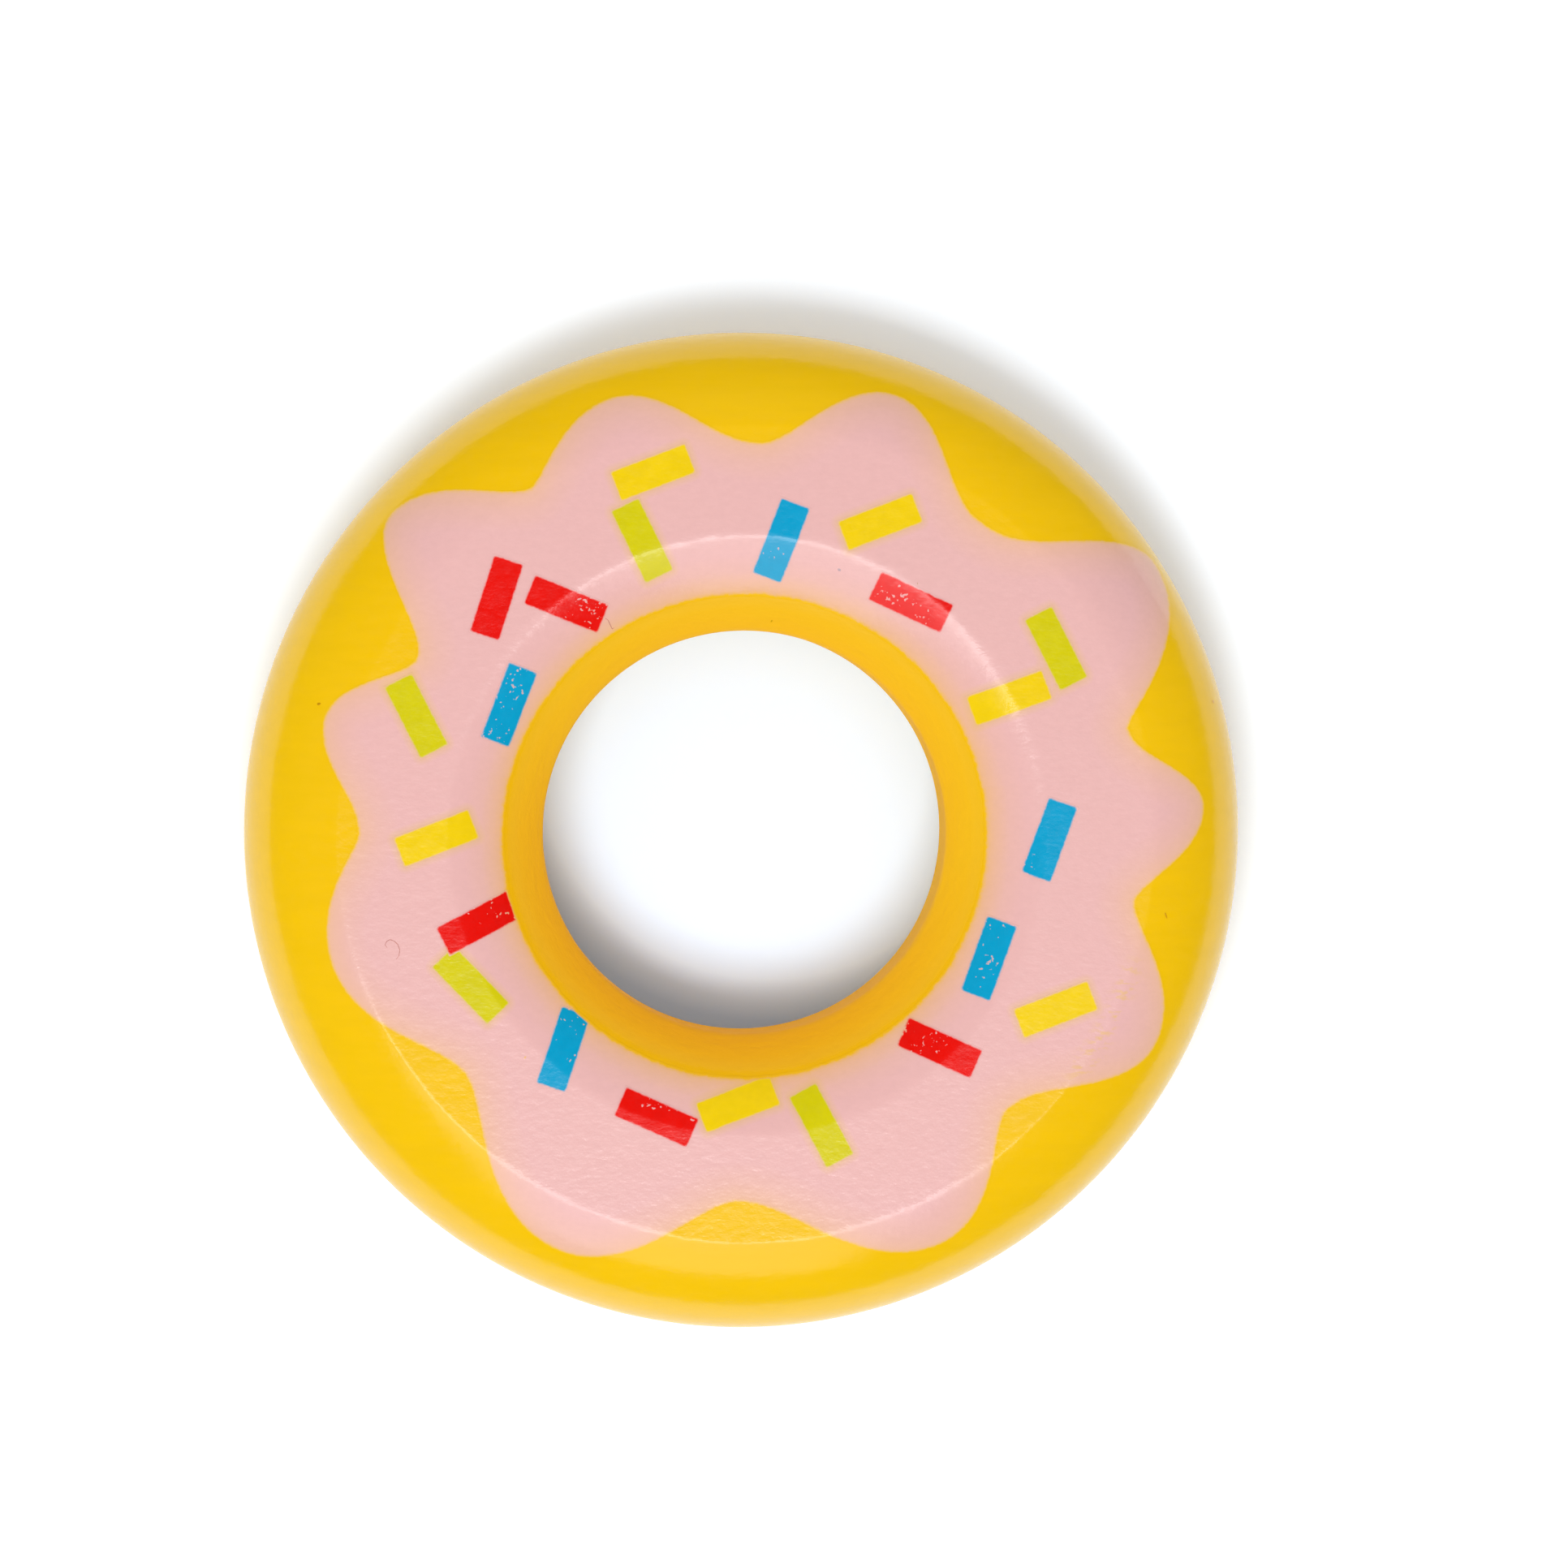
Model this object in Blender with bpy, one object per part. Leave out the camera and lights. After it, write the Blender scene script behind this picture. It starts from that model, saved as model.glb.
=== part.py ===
"""A toy doughnut: a turned and lacquered wooden ring with pink icing and sprinkles printed on its top.

Metres, +Z up. The ring lies on its flat underside, whose centre is the origin. The ring is turned
from one piece of board. The print is modelled as a thin skin that follows the wood just above it.
"""

import math

import bmesh
import bpy
from mathutils import Vector

MM = 0.001

# The turned ring.
OUTER_RADIUS = 32.5 * MM
HOLE_RADIUS = 13.1 * MM
THICKNESS = 13.0 * MM
FLAT_INNER_RADIUS = 19.4 * MM  # the flat top ends in a slight crease on both sides
FLAT_OUTER_RADIUS = 26.5 * MM
CREASE_SLOPE = math.radians(9)  # how steeply the rounded edges leave the flat
RIM_EDGE_SLOPE = math.radians(78)  # a broad rounding ends at this slope in a smaller one
RIM_EDGE_RADIUS = 2.5 * MM
HOLE_EDGE_SLOPE = math.radians(48)
HOLE_EDGE_RADIUS = 0.9 * MM
TURN_STEPS = 72  # facets round the ring
RIM_TOP_STEPS = 7
HOLE_TOP_STEPS = 5
BOTTOM_STEPS = 4
EDGE_STEPS = 3

# The print. It is a film of ink on the toy, and thicker here so that it is a solid.
PRINT_GAP = 0.08 * MM
ICING_THICKNESS = 0.10 * MM
SPRINKLE_RISE = 0.08 * MM
ICING_EDGE_STEPS = 180
ICING_INNER_RADIUS = 15.85 * MM
ICING_INNER_CENTRE = Vector((-0.1 * MM, -0.2 * MM))

# The icing's outer edge, lobe by lobe: the lobe's angle from +X in degrees and its radius in
# millimetres, the fullness of its side before and after it (the smaller, the broader the lobe), and
# the angle and radius of the valley that follows.
ICING_LOBES = (
    (3.5, 29.7, 0.85, 1.1, 15.5, 25.5),
    (33.0, 31.9, 0.7, 1.3, 53.5, 25.1),
    (71.0, 29.9, 1.05, 0.9, 88.0, 25.2),
    (107.0, 29.4, 1.1, 0.75, 122.0, 26.3),
    (138.0, 30.8, 0.85, 1.0, 152.0, 24.1),
    (164.5, 28.2, 0.9, 1.05, 180.0, 25.0),
    (197.0, 28.0, 0.7, 0.9, 220.0, 23.8),
    (245.5, 29.5, 0.85, 0.9, 268.5, 23.7),
    (295.5, 29.4, 1.0, 0.8, 313.0, 24.5),
    (332.5, 29.9, 1.1, 0.8, 350.0, 25.4),
)

# Sprinkles by colour: centre x and y in millimetres and the long side's angle in degrees.
SPRINKLE_LENGTH = 5.1 * MM
SPRINKLE_WIDTH = 1.95 * MM
SPRINKLES = {
    "red": (
        (-16.2, 15.3, 72),
        (-11.7, 14.9, -22),
        (10.6, 15.0, -25),
        (12.5, -13.9, -24),
        (-5.9, -18.3, -24),
        (-17.4, -5.7, 27),
    ),
    "blue": (
        (-15.4, 8.4, 69),
        (2.2, 19.0, 69),
        (19.6, -0.4, 70),
        (15.7, -8.1, 70),
        (-11.9, -13.9, 71),
    ),
    "green": (
        (-6.8, 19.0, 116),
        (-21.4, 7.7, 117),
        (20.0, 12.0, 117),
        (-17.9, -9.7, 134),
        (4.8, -18.9, 118),
    ),
    "yellow": (
        (-6.1, 23.4, 21),
        (8.6, 20.2, 21),
        (17.0, 8.8, 20),
        (-20.1, -0.2, 21),
        (20.0, -11.4, 21),
        (-0.6, -17.5, 20),
    ),
}

# Linear colours of the lacquer and the inks.
LACQUER_YELLOW = (0.92, 0.54, 0.0)
ICING_PINK = (0.87, 0.51, 0.46)
SPRINKLE_COLOURS = {
    "red": (0.84, 0.02, 0.01),
    "blue": (0.0, 0.36, 0.61),
    "green": (0.62, 0.65, 0.0),
    "yellow": (0.88, 0.62, 0.0),
}
GLOSS_ROUGHNESS = 0.25

CUT_BOTTOM = THICKNESS - 6.0 * MM  # the upright cutters span the top of the ring
CUT_TOP = THICKNESS + 2.0 * MM
SHARP_ANGLE = math.radians(40)


def clear_scene():
    for obj in list(bpy.data.objects):
        bpy.data.objects.remove(obj, do_unlink=True)


def make_material(name, colour):
    material = bpy.data.materials.new(name)
    material.use_nodes = True
    shader = material.node_tree.nodes["Principled BSDF"]
    shader.inputs["Base Color"].default_value = (*colour, 1.0)
    shader.inputs["Roughness"].default_value = GLOSS_ROUGHNESS
    shader.inputs["Metallic"].default_value = 0.0
    material.diffuse_color = (*colour, 1.0)
    return material


def make_object(name, points, faces, material):
    mesh = bpy.data.meshes.new(name)
    mesh.from_pydata([tuple(point) for point in points], [], faces)
    mesh.materials.append(material)
    mesh.validate()
    bm = bmesh.new()
    bm.from_mesh(mesh)
    bmesh.ops.recalc_face_normals(bm, faces=bm.faces)
    bm.to_mesh(mesh)
    bm.free()
    obj = bpy.data.objects.new(name, mesh)
    bpy.context.scene.collection.objects.link(obj)
    return obj


def turn(name, profile, material):
    """A closed profile of (radius, height) points turned round the Z axis."""
    count = len(profile)
    points = []
    faces = []
    for step in range(TURN_STEPS):
        angle = 2 * math.pi * step / TURN_STEPS
        for radius, height in profile:
            points.append((radius * math.cos(angle), radius * math.sin(angle), height))
        here = step * count
        ahead = (step + 1) % TURN_STEPS * count
        for i in range(count):
            j = (i + 1) % count
            faces.append((here + i, ahead + i, ahead + j, here + j))
    return make_object(name, points, faces, material)


def edge_round(width, steps, edge_slope, edge_radius):
    """(across, down) from the crease to the upright wall, with the outward slope of each point.

    A broad arc falls away to the edge slope, and a smaller one leads on from there to the wall.
    """
    broad_width = width - edge_radius * (1 - math.sin(edge_slope))
    broad_radius = broad_width / (math.sin(edge_slope) - math.sin(CREASE_SLOPE))
    slopes = [CREASE_SLOPE + (edge_slope - CREASE_SLOPE) * step / steps for step in range(steps + 1)]
    turn_left = math.pi / 2 - edge_slope
    slopes += [edge_slope + turn_left * (step + 1) / EDGE_STEPS for step in range(EDGE_STEPS)]
    points = []
    for slope in slopes:
        broad = min(slope, edge_slope)
        across = broad_radius * (math.sin(broad) - math.sin(CREASE_SLOPE))
        across += edge_radius * (math.sin(slope) - math.sin(broad))
        down = broad_radius * (math.cos(CREASE_SLOPE) - math.cos(broad))
        down += edge_radius * (math.cos(broad) - math.cos(slope))
        points.append((across, down, slope))
    return points


def rim_round(steps):
    return edge_round(OUTER_RADIUS - FLAT_OUTER_RADIUS, steps, RIM_EDGE_SLOPE, RIM_EDGE_RADIUS)


def hole_round(steps):
    return edge_round(FLAT_INNER_RADIUS - HOLE_RADIUS, steps, HOLE_EDGE_SLOPE, HOLE_EDGE_RADIUS)


def ring_profile():
    outer_top = [(FLAT_OUTER_RADIUS + across, THICKNESS - down) for across, down, _ in rim_round(RIM_TOP_STEPS)]
    outer_bottom = [(FLAT_OUTER_RADIUS + across, down) for across, down, _ in rim_round(BOTTOM_STEPS)]
    inner_bottom = [(FLAT_INNER_RADIUS - across, down) for across, down, _ in hole_round(BOTTOM_STEPS)]
    inner_top = [
        (FLAT_INNER_RADIUS - across, THICKNESS - down) for across, down, _ in hole_round(HOLE_TOP_STEPS)
    ]
    return outer_top + outer_bottom[::-1] + inner_bottom + inner_top[::-1]


def lifted(radius, height, slope, side, lift):
    """A profile point moved off the wood. Side is 1 on the outer edge and -1 on the hole's."""
    if slope == CREASE_SLOPE:
        half = slope / 2
        return radius + side * lift * math.tan(half), height + lift
    return radius + side * lift * math.sin(slope), height + lift * math.cos(slope)


def print_path(lift):
    """The top of the ring at a height above the wood, from the hole's edge to the outer edge."""
    inner = hole_round(HOLE_TOP_STEPS)
    outer = rim_round(RIM_TOP_STEPS)
    path = [
        lifted(FLAT_INNER_RADIUS - across, THICKNESS - down, slope, -1, lift)
        for across, down, slope in inner[:-1]
    ]
    path.reverse()
    path += [
        lifted(FLAT_OUTER_RADIUS + across, THICKNESS - down, slope, 1, lift)
        for across, down, slope in outer[:-1]
    ]
    return path


def print_band(name, low, high, material):
    return turn(name, print_path(high) + print_path(low)[::-1], material)


def way_of(degrees):
    return Vector((math.cos(math.radians(degrees)), math.sin(math.radians(degrees))))


def turn_between(start, end):
    """From one angle to another the short way round, in degrees."""
    return (end - start + 180) % 360 - 180


def icing_sides():
    """Both sides of each lobe: the valley's angle and radius, the lobe's, and the side's fullness."""
    sides = []
    valley_before = ICING_LOBES[-1][4:]
    for at, radius, before, after, *valley_after in ICING_LOBES:
        sides.append((valley_before, (at, radius), before))
        sides.append((valley_after, (at, radius), after))
        valley_before = valley_after
    return sides


def icing_edge(angle):
    """Radius of the icing's outer edge at an angle in degrees: it swings from valley to lobe."""
    for (valley_at, low), (lobe_at, high), fullness in icing_sides():
        share = turn_between(valley_at, angle) / turn_between(valley_at, lobe_at)
        if 0 <= share <= 1:
            return (low + (high - low) * math.sin(math.pi / 2 * share**fullness) ** 2) * MM


def icing_cutter(material):
    """An upright block with the icing's outline and its round hole."""
    points = []
    faces = []
    for step in range(ICING_EDGE_STEPS):
        degrees = 360 * step / ICING_EDGE_STEPS
        way = way_of(degrees)
        outer = way * icing_edge(degrees)
        inner = ICING_INNER_CENTRE + way * ICING_INNER_RADIUS
        for edge in (outer, inner):
            for height in (CUT_TOP, CUT_BOTTOM):
                points.append((edge.x, edge.y, height))
        here = 4 * step
        ahead = 4 * ((step + 1) % ICING_EDGE_STEPS)
        for a, b in ((0, 1), (1, 3), (3, 2), (2, 0)):
            faces.append((here + a, here + b, ahead + b, ahead + a))
    return make_object("icing_cutter", points, faces, material)


def sprinkle_cutter(x, y, degrees, material):
    long_way = way_of(degrees)
    short_way = Vector((-long_way.y, long_way.x))
    centre = Vector((x * MM, y * MM))
    points = []
    for height in (CUT_BOTTOM, CUT_TOP):
        for along, aside in ((-1, -1), (1, -1), (1, 1), (-1, 1)):
            corner = centre + along * long_way * SPRINKLE_LENGTH / 2
            corner += aside * short_way * SPRINKLE_WIDTH / 2
            points.append((corner.x, corner.y, height))
    faces = [(0, 1, 2, 3), (4, 5, 6, 7)]
    faces += [(i, (i + 1) % 4, (i + 1) % 4 + 4, i + 4) for i in range(4)]
    return make_object("sprinkle_cutter", points, faces, material)


def apply_boolean(obj, operation, other=None, collection=None):
    """Cuts or joins obj with another object, or with all of a collection, and applies it."""
    modifier = obj.modifiers.new(operation.lower(), "BOOLEAN")
    modifier.operation = operation
    modifier.solver = "EXACT"
    if collection:
        modifier.operand_type = "COLLECTION"
        modifier.collection = collection
    else:
        modifier.object = other
    if operation == "UNION":
        modifier.material_mode = "TRANSFER"
    graph = bpy.context.evaluated_depsgraph_get()
    result = bpy.data.meshes.new_from_object(obj.evaluated_get(graph), depsgraph=graph)
    obj.modifiers.clear()
    obj.data = result


def smooth(obj):
    obj.data.shade_smooth()
    obj.data.set_sharp_from_angle(angle=SHARP_ANGLE)


def make_ring():
    ring = turn("ring", ring_profile(), make_material("lacquer_yellow", LACQUER_YELLOW))
    smooth(ring)


def make_sprinkles(low, high):
    """The printed sprinkles as one collection, each following the top of the ring."""
    sprinkles = bpy.data.collections.new("sprinkles")
    bpy.context.scene.collection.children.link(sprinkles)
    for colour, places in SPRINKLES.items():
        material = make_material("sprinkle_" + colour, SPRINKLE_COLOURS[colour])
        for x, y, degrees in places:
            sprinkle = print_band("sprinkle", low, high, material)
            cutter = sprinkle_cutter(x, y, degrees, material)
            apply_boolean(sprinkle, "INTERSECT", other=cutter)
            bpy.data.objects.remove(cutter)
            sprinkles.objects.link(sprinkle)
            bpy.context.scene.collection.objects.unlink(sprinkle)
    return sprinkles


def make_icing():
    pink = make_material("icing_pink", ICING_PINK)
    icing = print_band("icing", PRINT_GAP, PRINT_GAP + ICING_THICKNESS, pink)
    sprinkle_low = PRINT_GAP + ICING_THICKNESS / 2
    sprinkle_high = PRINT_GAP + ICING_THICKNESS + SPRINKLE_RISE
    sprinkles = make_sprinkles(sprinkle_low, sprinkle_high)
    apply_boolean(icing, "UNION", collection=sprinkles)
    for obj in list(sprinkles.objects):
        bpy.data.objects.remove(obj)
    bpy.data.collections.remove(sprinkles)
    shape = icing_cutter(pink)
    apply_boolean(icing, "INTERSECT", other=shape)
    bpy.data.objects.remove(shape)
    smooth(icing)


clear_scene()
make_ring()
make_icing()
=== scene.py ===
"""The looks of the toy doughnut: lacquered wood, printed icing and sprinkles, on a white table.

Metres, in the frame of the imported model. The wood and the print are made again as fine meshes on
the same surface of revolution as the solids, and stand for them in the render.
"""

import math

import bpy
from mathutils import Matrix, Vector
from mathutils.kdtree import KDTree
from mathutils.noise import noise


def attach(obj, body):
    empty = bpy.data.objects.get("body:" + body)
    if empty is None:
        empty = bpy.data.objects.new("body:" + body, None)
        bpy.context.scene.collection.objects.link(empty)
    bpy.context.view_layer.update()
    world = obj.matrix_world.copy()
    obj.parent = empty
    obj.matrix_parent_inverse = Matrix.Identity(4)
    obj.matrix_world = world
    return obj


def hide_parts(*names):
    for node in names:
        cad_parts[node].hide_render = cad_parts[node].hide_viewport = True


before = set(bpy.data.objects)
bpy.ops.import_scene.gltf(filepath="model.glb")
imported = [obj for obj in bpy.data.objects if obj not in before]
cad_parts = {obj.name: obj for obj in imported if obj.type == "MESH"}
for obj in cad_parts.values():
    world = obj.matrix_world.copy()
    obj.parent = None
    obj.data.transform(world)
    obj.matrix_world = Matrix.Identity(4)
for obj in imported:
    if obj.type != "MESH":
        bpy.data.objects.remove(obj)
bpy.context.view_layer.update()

MM = 0.001

# The turned ring, as in the solids.
OUTER_RADIUS = 32.5 * MM
HOLE_RADIUS = 13.1 * MM
THICKNESS = 13.0 * MM
FLAT_INNER_RADIUS = 19.4 * MM
FLAT_OUTER_RADIUS = 26.5 * MM
CREASE_SLOPE = math.radians(9)
CREASE_ROUNDING = 1.6 * MM  # the lacquer rounds the creases off
RIM_EDGE_SLOPE = math.radians(78)  # a broad rounding ends at this slope in a smaller one
RIM_EDGE_RADIUS = 2.5 * MM
HOLE_EDGE_SLOPE = math.radians(48)
HOLE_EDGE_RADIUS = 0.9 * MM
COLUMNS = 384

# Steps of the section: over the flats and the wall, and in each half the steps over the rounded
# crease, the broad rounding and the small one.
TOP_FLAT_STEPS = 26
BOTTOM_FLAT_STEPS = 8
WALL_STEPS = 8
UPPER_STEPS = (6, 30, 12)
LOWER_STEPS = (3, 14, 6)
SMOOTH_ANGLE = math.radians(50)  # edges sharper than this stay sharp

# What the lathe and the lacquer leave on the surface.
CREASE_WANDER = 0.05 * MM
CREASE_WANDER_REACH = 0.9 * MM
RELIEF = 0.004 * MM
RELIEF_SIZE = 1.3 * MM
RELIEF_STRETCH = 0.6  # along x, the way of the wood's grain

# The print: how far its top stands over the wood and how deep its underside lies in it.
PRINT_LIFT = 0.020 * MM
PRINT_DEPTH = 0.020 * MM
PRINT_COLUMNS = 720
PRINT_MARGIN = 0.20 * MM  # the printed film runs on this far as clear lacquer
PRINT_EDGE_STEPS = (0, 0.07, 0.14, 0.21, 0.28, 0.36, 0.45, 0.58, 0.75, 1.0, 1.3)
PRINT_EDGE_ROWS = [step * MM for step in PRINT_EDGE_STEPS]
PRINT_MIDDLE_ROWS = 34
OUTLINE_STEPS = 8 * PRINT_COLUMNS
ICING_INNER_RADIUS = 15.85 * MM
ICING_INNER_CENTRE = Vector((-0.1 * MM, -0.2 * MM))
INNER_TEETH = 0.09 * MM
INNER_SHIFT = -0.08 * MM  # puts the middle of the teeth on the inner edge

# Yellow flecks break through the pink along the outer crease between these angles in degrees.
FLECK_TURNS = (-39, -17)
FLECK_WIDTH = 0.6 * MM
FLECK_STRENGTH = 0.6

# The icing's outer edge, lobe by lobe: the lobe's angle from +X in degrees and its radius in
# millimetres, the fullness of its side before and after it (the smaller, the broader the lobe), and
# the angle and radius of the valley that follows.
ICING_LOBES = (
    (3.5, 29.7, 0.85, 1.1, 15.5, 25.5),
    (33.0, 31.9, 0.7, 1.3, 53.5, 25.1),
    (71.0, 29.9, 1.05, 0.9, 88.0, 25.2),
    (107.0, 29.4, 1.1, 0.75, 122.0, 26.3),
    (138.0, 30.8, 0.85, 1.0, 152.0, 24.1),
    (164.5, 28.2, 0.9, 1.05, 180.0, 25.0),
    (197.0, 28.0, 0.7, 0.9, 220.0, 23.8),
    (245.5, 29.5, 0.85, 0.9, 268.5, 23.7),
    (295.5, 29.4, 1.0, 0.8, 313.0, 24.5),
    (332.5, 29.9, 1.1, 0.8, 350.0, 25.4),
)

# Sprinkles by colour: centre x and y in millimetres and the long side's angle in degrees.
SPRINKLE_LENGTH = 5.1 * MM
SPRINKLE_WIDTH = 1.95 * MM
SPRINKLE_CORNER = 0.12 * MM
SPRINKLE_LIFTS = {
    "yellow": 0.032 * MM,
    "green": 0.035 * MM,
    "blue": 0.038 * MM,
    "red": 0.041 * MM,
}
SPRINKLE_MARGIN = 0.09 * MM  # the printed film runs on round the ink
SPRINKLE_CELLS = (44, 18)
HALO_WIDTH = 0.55  # how far green and yellow bleed into the pink, in millimetres
HALO_SHARE = 0.45
HALO_SEARCH = SPRINKLE_LENGTH / 2 + HALO_WIDTH * MM + 0.5 * MM
SPRINKLES = {
    "red": (
        (-16.2, 15.3, 72),
        (-11.7, 14.9, -22),
        (10.6, 15.0, -25),
        (12.5, -13.9, -24),
        (-5.9, -18.3, -24),
        (-17.4, -5.7, 27),
    ),
    "blue": (
        (-15.4, 8.4, 69),
        (2.2, 19.0, 69),
        (19.6, -0.4, 70),
        (15.7, -8.1, 70),
        (-11.9, -13.9, 71),
    ),
    "green": (
        (-6.8, 19.0, 116),
        (-21.4, 7.7, 117),
        (20.0, 12.0, 117),
        (-17.9, -9.7, 134),
        (4.8, -18.9, 118),
    ),
    "yellow": (
        (-6.1, 23.4, 21),
        (8.6, 20.2, 21),
        (17.0, 8.8, 20),
        (-20.1, -0.2, 21),
        (20.0, -11.4, 21),
        (-0.6, -17.5, 20),
    ),
}

# Specks of dust in the lacquer: name, centre x and y, length and width in millimetres, the long
# side's angle in degrees, and colour.
SPECK_LIFT = 0.045 * MM
SPECK_RIM_LIFT = 0.012 * MM
SPECK_SIDES = 12
SPECKS = (
    ("speck_brown_left", -27.66, 8.46, 0.24, 0.16, 20, (0.42, 0.20, 0.0)),
    ("speck_brown_right", 27.2, -5.33, 0.42, 0.09, 110, (0.48, 0.22, 0.0)),
    ("speck_rim", 30.6, 8.45, 0.24, 0.18, 120, (0.58, 0.30, 0.02)),
    ("speck_grey", 5.97, 17.1, 0.30, 0.20, -30, (0.38, 0.27, 0.28)),
    ("speck_top", 11.0, 16.2, 0.20, 0.07, 100, (0.45, 0.25, 0.15)),
    ("speck_hole", 1.72, 13.75, 0.16, 0.10, 60, (0.50, 0.28, 0.0)),
    ("speck_yellow", -14.4, -14.4, 0.26, 0.14, 50, (0.62, 0.36, 0.15)),
)

# Hairs in the lacquer: name and the places that they run through, in millimetres.
HAIR_RADIUS = 0.022 * MM
HAIR_SIDES = 6
HAIR_STEPS = 4  # between one place and the next
HAIR_COLOUR = (0.42, 0.17, 0.14)
HAIRS = (
    (
        "hair_curled",
        (
            (-23.30, -7.25),
            (-23.42, -7.08),
            (-23.32, -6.85),
            (-23.10, -6.74),
            (-22.84, -6.84),
            (-22.60, -7.05),
            (-22.47, -7.42),
            (-22.53, -7.78),
            (-22.70, -8.00),
        ),
    ),
    (
        "hair_short",
        (
            (-9.16, 13.98),
            (-8.98, 13.86),
            (-8.82, 13.53),
            (-8.70, 13.28),
            (-8.58, 13.36),
        ),
    ),
)

# Colours, linear.
YELLOW = (0.76, 0.455, 0.0)
HOLE_SHADE_YELLOW = (0.775, 0.43, 0.0)  # painted shade: the hole is a deeper yellow for the yellow light and shade in it
# painted shade: the hole's side away from the lamp is a deeper yellow still
HOLE_SHADED_SIDE_YELLOW = (0.77, 0.34, 0.0)
PINK = (0.685, 0.394, 0.363)
HALO_YELLOW = (0.66, 0.43, 0.10)
FLECK_YELLOW = (0.68, 0.42, 0.12)
SPRINKLE_COLOURS = {
    "red": (0.70, 0.003, 0.0),
    "blue": (0.0, 0.30, 0.50),
    "green": (0.57, 0.51, 0.0),
    "yellow": (0.76, 0.53, 0.0),
}

# Where the looks change round the hole: (distance where it starts, distance where it is complete).
# Distances are from the ring's axis, and from a point towards the hole's lit side for the side of the
# hole away from it. The hole's deeper yellows and the darker floor there are painted shade.
LIT_SIDE_POINT = (2.2 * MM, 5.5 * MM, 0)
HOLE_SHADE_REACH = (17.0 * MM, 13.5 * MM)
HOLE_SHADED_SIDE_REACH = (14.0 * MM, 20.5 * MM)
STROKES_REACH = (16.8 * MM, 14.0 * MM)
ROUGH_REACH = (15.6 * MM, 14.0 * MM)
NO_HOLES_REACH = (18.8 * MM, 20.2 * MM)  # past it the red and blue inks have no pinholes
FLOOR_REACH = (17.0 * MM, 14.0 * MM)
FLOOR_SHADE_REACH = (15.6 * MM, 18.4 * MM)

# How much pink there is at 0.2 mm outside the icing's edge (0) to 2.5 mm inside it (1).
EDGE_SPAN = (-0.2, 2.5)
OUTER_EDGE_SHARE = (
    (0.0, 0.0),
    (1.0, 1.0),
    (0.03, 0.05),
    (0.067, 0.5),
    (0.111, 0.74),
    (0.2, 0.8),
    (0.5, 0.91),
)
INNER_EDGE_SHARE = (
    (0.0, 0.0),
    (1.0, 1.0),
    (0.045, 0.03),
    (0.09, 0.42),
    (0.14, 0.62),
    (0.25, 0.72),
    (0.4, 0.81),
    (0.6, 0.93),
)

# The lacquer: its orange peel, and how rough it is where it is smooth, uneven and worn.
PEEL_DEPTH = 0.017 * MM
GRAIN_SHARE = 0.25
STROKES_SHARE = 4.5
ROUGHNESS = (0.15, 0.22)
WORN_ROUGHNESS = 0.8
LACQUER_IOR = 1.38

# The camera looks down from a little to the upper left of the picture.
PIXEL = 65.0 * MM / 1225.7  # one pixel of the 1932-pixel frame, at the doughnut
CAMERA_DISTANCE = 620 * MM
CAMERA_TILT = math.radians(3.85)
CAMERA_AZIMUTH = math.radians(149)
LOOK_AT = Vector((51.7 * PIXEL, 57.2 * PIXEL, THICKNESS / 2))
SENSOR = 36.0
FRAME_PIXELS = 1932

# Lights: azimuth and angle from the vertical in degrees, distance, width and height in metres,
# radiance. The lamps light the scene, and the panels are what the lacquer mirrors.
LAMPS = {
    "main": (249, 22.5, 0.7, 0.34, 0.24, 11.2),
    "fill_north": (90, 45, 0.8, 0.45, 0.45, 0.75),
    "fill_west": (180, 45, 0.8, 0.45, 0.45, 0.23),
}
PANELS = {
    "key_panel": (265, 38, 0.7, 0.46, 0.54, 2.0),
    "crease_strip": (266, 13.5, 0.7, 0.34, 0.08, 10.0),
    "overhead_panel": (290, 6.0, 0.9, 0.20, 0.06, 1.2),
}
TABLE_GLOW = (0, 0, 1.0, 0.015, 0.015, 1.5)  # what the bright table sends up the hole
GLOW_HEIGHT = 0.5 * MM
SKY = 0.69
SKY_COLOUR = (1.0, 1.0, 1.08)

# The table. Its colours make up for the yellow light that the lacquer throws on it, and in the hole
# its shaded side is painted darker, a painted shadow.
FLOOR_COLOUR = (0.97, 1.04, 1.10)
HOLE_FLOOR_COLOUR = (0.80, 0.95, 1.13)
SHADED_FLOOR_COLOUR = (0.45, 0.59, 0.80)
FLOOR_ROUGHNESS = 0.9
FLOOR_SPECULAR = 0.1
FLOOR_SIDES = 96
FLOOR_RADIUS = 2.1
FLOOR_IN_HOLE_RADIUS = 16 * MM
MIRRORED_FLOOR_RADIUS = 0.1  # the lacquer mirrors the table from the hole's part of it to here


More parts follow.
